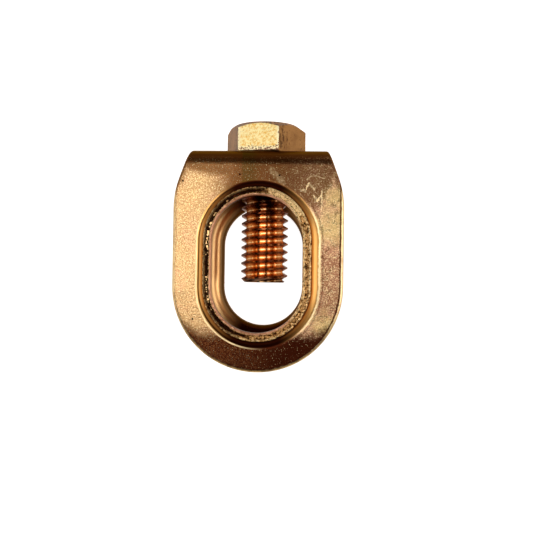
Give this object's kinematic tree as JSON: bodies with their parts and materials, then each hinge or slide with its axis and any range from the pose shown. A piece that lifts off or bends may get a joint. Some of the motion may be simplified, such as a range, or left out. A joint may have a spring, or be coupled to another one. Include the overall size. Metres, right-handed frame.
{
  "type": "earth rod clamp",
  "caption": "Folded bronze earth rod clamp: two plates with raised obround collars for the rod, and a hexagon bolt through the top web.",
  "frame": {"origin": "axis of the rounded rod seat, on the outer rim of the back collar", "axes": "+Z along the rod, +Y along the bolt towards its head, +X across the plates"},
  "size_m": [0.0324, 0.0482, 0.0243],
  "materials": {
    "sheet_bronze": "blasted, with burnished edges",
    "bolt_bronze": "as forged, thread burnished"
  },
  "bodies": {
    "body": {"clamp_body": "sheet_bronze"},
    "bolt": {"clamp_bolt": "bolt_bronze"}
  },
  "joints": [
    {"name": "bolt_travel", "type": "slide", "parent": "body", "child": "bolt", "axis": [0, 1, 0], "range_m": [0, 0.021]}
  ]
}
